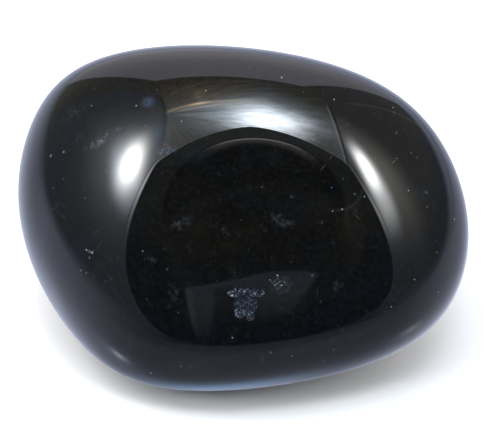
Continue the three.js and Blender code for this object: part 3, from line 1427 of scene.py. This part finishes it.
@dataclass(frozen=True)
class SoftLamp:
    """A soft lamp beside the tent, which lights the paper but isn't mirrored."""

    name: str
    azimuth: float
    elevation: float
    size: float
    watts: float
    distance: float = 300 * MM
    colour: Colour = (1.0, 0.98, 0.95)

    def build(self) -> bpy.types.Object:
        """Makes the lamp and turns it to the stone."""
        data = bpy.data.lights.new(self.name, "AREA")
        data.size = self.size
        data.energy = self.watts
        data.color = self.colour
        lamp = placed(self.name, data)
        lamp.location = (outwards(self.azimuth, self.elevation) * self.distance).tolist()
        lamp.rotation_euler = Euler(np.radians((90 - self.elevation, 0.0, self.azimuth)))
        lamp.visible_camera = False
        lamp.visible_glossy = False
        return lamp


@dataclass(frozen=True)
class ProductCamera:
    """A long lens that looks down at the front of the stone."""

    elevation: float = 38.0
    distance: float = 260 * MM
    view_width: float = 31.82 * MM
    aim_right: float = 0.293 * MM
    aim_up: float = 0.249 * MM
    sensor: float = 36.0
    clip_start: float = 10 * MM

    def build(self, heart: Array) -> bpy.types.Object:
        """Makes the camera and gives it to the scene.

        Args:
            heart: the stone's heart, which the aim is measured from, in metres.

        Returns:
            The camera.
        """
        towards = outwards(0.0, self.elevation)
        right = np.array([1.0, 0.0, 0.0])
        up = np.cross(towards, right)
        aim = heart + right * self.aim_right + up * self.aim_up
        lens = bpy.data.cameras.new("product_camera")
        lens.sensor_width = self.sensor
        lens.lens = self.sensor * self.distance / self.view_width
        lens.clip_start = self.clip_start
        camera = placed("product_camera", lens)
        camera.location = (aim + towards * self.distance).tolist()
        camera.rotation_euler = Euler(np.radians((90 - self.elevation, 0.0, 0.0)))
        bpy.context.scene.camera = camera
        return camera


# ---------------- the values


def worn_faces(*rows: Row) -> tuple[WornFace, ...]:
    """Worn faces, with their reaches and domes given in millimetres."""
    return tuple(WornFace(turn, rise, reach * MM, dome * MM) for turn, rise, reach, dome in rows)


def scoops(*rows: Row) -> tuple[Scoop, ...]:
    """Scoops, with their places and sizes given in millimetres."""
    return tuple(Scoop(*(length * MM for length in row[:5]), *row[5:]) for row in rows)


def marks(kind: MarkKind, *rows: Row) -> tuple[Mark, ...]:
    """Marks of one kind, with their half sizes given in millimetres."""
    return tuple(Mark(kind, turn, rise, length * MM, width * MM, *rest)
                 for turn, rise, length, width, *rest in rows)


def flecks(*rows: Row) -> tuple[Fleck, ...]:
    """Flecks, with their half sizes given in millimetres."""
    return tuple(Fleck(turn, rise, size * MM, *rest) for turn, rise, size, *rest in rows)


SKIN = WornSkin(
    faces=worn_faces(
        (-5, 35, 7.5, 30),  # front slope
        (0, 84, 14.6, 30),  # crown
        (170, 48, 11.25, 40),  # back slope
        (-83, 22, 14.85, 32),  # left end
        (93, 4, 18.25, 26),  # right end
        (-131, 30, 18.6, 26),  # back left shoulder
        (129, 19, 14, 28),  # back right shoulder
        (10, -41, 11.4, 48),  # front keel
        (-56, -17, 13.1, 36),  # front left keel
        (72, -32, 15.7, 30),  # front right keel
        (174, -15, 15.3, 24),  # back keel
        (0, -87, 10.6, 62),  # belly
    ),
    crispness=10,
    rest_depth=10.5 * MM,
)

DRUSE_SCOOPS = scoops(
    (-0.55, 0.45, 1.3, 0.6, 0.28),
    (0.0, 0.5, 1.3, 0.6, 0.3),
    (0.55, 0.5, 1.3, 0.55, 0.28),
    (0.0, -0.25, 1.5, 1.5, 0.4, 0.3),
    (-0.35, -0.85, 0.7, 0.7, 0.28),
    (0.3, -1.0, 0.55, 0.7, 0.26),
)
PIN_SCOOPS = scoops((0.0, 0.0, 0.6, 0.5, 0.13, 0.6))
CHIP_SCOOPS = scoops((0.0, 0.0, 1.3, 0.9, 0.2), (0.55, -0.2, 0.8, 0.55, 0.16))
HOLLOWS = (
    Hollow(3.5, 1.25, DRUSE_SCOOPS, 0.085 * MM, seed=7, clearness=6.0),
    Hollow(17, 8.75, PIN_SCOOPS, 0.09 * MM, seed=11, raggedness=0.3, clearness=9.0),
    Hollow(160, 22, CHIP_SCOOPS, 0.14 * MM, seed=23),
)

MILK: Colour = (0.16, 0.18, 0.21)
WHITE: Colour = (0.40, 0.42, 0.46)
BLUE: Colour = (0.055, 0.090, 0.145)
CRACK: Colour = (0.11, 0.115, 0.12)
DEEP: Colour = (0.0, 0.0005, 0.002)

CLOUDS = marks(
    MarkKind.CLOUD,
    (-32, 32, 1.2, 0.6, 38, 0.16, MILK),  # left of the middle
    (25, 35, 1.35, 0.6, -26, 0.16, MILK),  # right of the middle
    (-41, 13, 0.8, 0.35, -10, 0.20, MILK),  # left keel
    (-60.5, 8, 0.4, 0.15, 0, 0.6, WHITE),
    (-60, 6, 0.15, 0.07, -60, 0.6, WHITE),
    (-83, 40, 1.9, 0.4, 51, 0.55, MILK),  # left shoulder
    (-60, 55, 0.9, 0.4, 16, 0.80, BLUE),
    (-96, 36, 1.3, 0.8, 60, 0.10, MILK),
    (75, 21, 0.6, 0.3, -59, 0.20, BLUE),  # right end
    (-61, 57, 0.55, 0.2, -22, 0.35, MILK),  # left shoulder
    (-27, 2, 1.0, 0.5, -45, 0.08, MILK),  # beside the druse
    (19, 7, 1.0, 0.8, 0, 0.22, MILK),  # round the pinhole
)
CORES = marks(
    MarkKind.CORE,
    (-90, 59, 0.66, 0.52, 24, 0.38, BLUE),  # blue spot
    (-90, 58.5, 0.16, 0.14, 0, 0.7, DEEP),
    (53, 39, 0.6, 0.6, 0, 0.9, DEEP),  # bruise
)
RIMS = marks(MarkKind.RING, (56.5, 39, 1.7, 1.7, 20, 0.055, CRACK))
CRACKS = marks(
    MarkKind.LINE,
    (62, 48, 0.25, 0.03, 37, 0.50, CRACK),  # over the bruise
    (56, 47, 0.42, 0.05, 42, 0.25, CRACK),
    (75.5, 33, 0.22, 0.03, 26, 0.3, WHITE),  # thread at the right end
    (-59, 11, 0.5, 0.03, 63, 0.22, CRACK),  # left keel
    (55, 25, 0.37, 0.03, -53, 0.35, CRACK),  # scratches
    (32, 3, 0.5, 0.03, 87, 0.18, CRACK),
    (-48, -2, 1.6, 0.03, -41, 0.10, CRACK),
    (-62, 14, 0.3, 0.03, -33, 0.25, CRACK),
)

FLECKS = flecks(
    (-91, 79, 0.072),  # crown
    (105, 75, 0.088),
    (88, 58, 0.072),
    (93, 41, 0.072),
    (-69, 67, 0.072, 0.7),
    (-90, 55, 0.072),  # left shoulder
    (-87, 28, 0.09, 0.6),
    (-96, 42, 0.064, 0.7),
    (-87, 28, 0.16, 0.18),
    (-89, 24, 0.16, 0.35),
    (-61, 1, 0.080, 0.5),  # left keel
    (-59, 1, 0.072, 0.4),
    (-62, 8, 0.080),
    (-60, 8, 0.080),
    (-44, 15, 0.064, 0.8),
    (18, 11, 0.080),  # round the pinhole
    (19, 6.8, 0.080),
    (14.5, 9.3, 0.064, 0.7),
    (20.5, 8, 0.056, 0.6),
    (-32, -28, 0.080),  # under the front
    (-2, -13, 0.072),
    (-21, -24, 0.064, 0.7),
    (20, -19, 0.064, 0.8),
    (31, -22, 0.064, 0.7),
    (53.5, 39, 0.080, 0.25),  # in the bruise
    (52, 30, 0.080),  # under the bruise
    (48.5, 31, 0.064, 0.8),
    (61, 30, 0.072),
    (72, 24, 0.072),  # right end
    (77, 33, 0.064, 0.6),
    (81, 31, 0.072, 0.4),
    (81, 29, 0.064, 0.3),
    (77, 10, 0.080),
    (60, 1, 0.072, 0.8),  # right keel
    (65, -5, 0.072, 0.8),
    (52, -5, 0.064, 0.8),
    (57, -18, 0.064, 0.8),
)
POLISH = OnyxPolish(CLOUDS + CORES + RIMS + CRACKS, FLECKS)

SOFT_LAMPS = (
    SoftLamp("left_lamp", -60.0, 56.0, 120 * MM, 0.36),
    SoftLamp("right_lamp", 75.0, 40.0, 200 * MM, 0.22),
)

TENT_LAMPS = (
    Glow(-47.9, 39.4, 3.8, 5.2, 40.0, 16.0),  # left lamp through the cloth
    Glow(-49.0, 37.0, 9.6, 4.9, 6.3, -37.0, 1.45, (0.90, 1.0, 1.09)),
    Glow(-49.0, 39.0, 16.2, 10.0, 2.5, 0.0, 0.78, (0.96, 1.0, 1.06)),
    Glow(40.4, 41.5, 2.6, 6.0, 26.0, 1.0, 1.3),  # right lamp through the cloth
    Glow(41.3, 36.8, 3.6, 11.2, 7.4, 0.0, 1.4, (0.97, 1.0, 1.03)),
    Glow(46.3, 39.4, 8.2, 16.0, 1.45, 13.6, 0.9, (1.03, 1.02, 0.88)),
    Glow(36.5, 31.0, 3.0, 6.0, 0.35, colour=(0.8, 1.0, 1.1)),
    Glow(35.0, 46.0, 4.0, 5.0, 0.30, colour=(0.6, 1.0, 1.5)),
    Glow(-45.5, 49.5, 4.5, 4.0, 0.6, colour=(0.5, 0.9, 1.4)),  # left lamp's upper edge
    Glow(-53.0, 55.0, 5.0, 4.0, 0.15),
)


def main() -> None:
    """Builds the stone, the camera and the studio in order, and reports each piece."""
    logging.basicConfig(level=logging.INFO, format="%(name)s: %(message)s")
    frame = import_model()
    log.info("the frame has %d node", len(frame["nodes"]))
    bpy.context.scene.view_settings.view_transform = "Standard"
    low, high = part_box("stone")
    pebble = Pebble("onyx_pebble", SKIN, HOLLOWS, POLISH)
    stone = pebble.build(low, high)
    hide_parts("stone")
    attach(stone, "root")
    log.info("%s: %d faces, heart at %s", stone.name, len(stone.data.polygons), pebble.heart)
    ProductCamera().build(pebble.heart)
    PaperSheet().build(pebble.heart)
    for lamp in SOFT_LAMPS:
        lamp.build()
    LightTent(TENT_LAMPS).build()


if __name__ == "__main__":
    main()
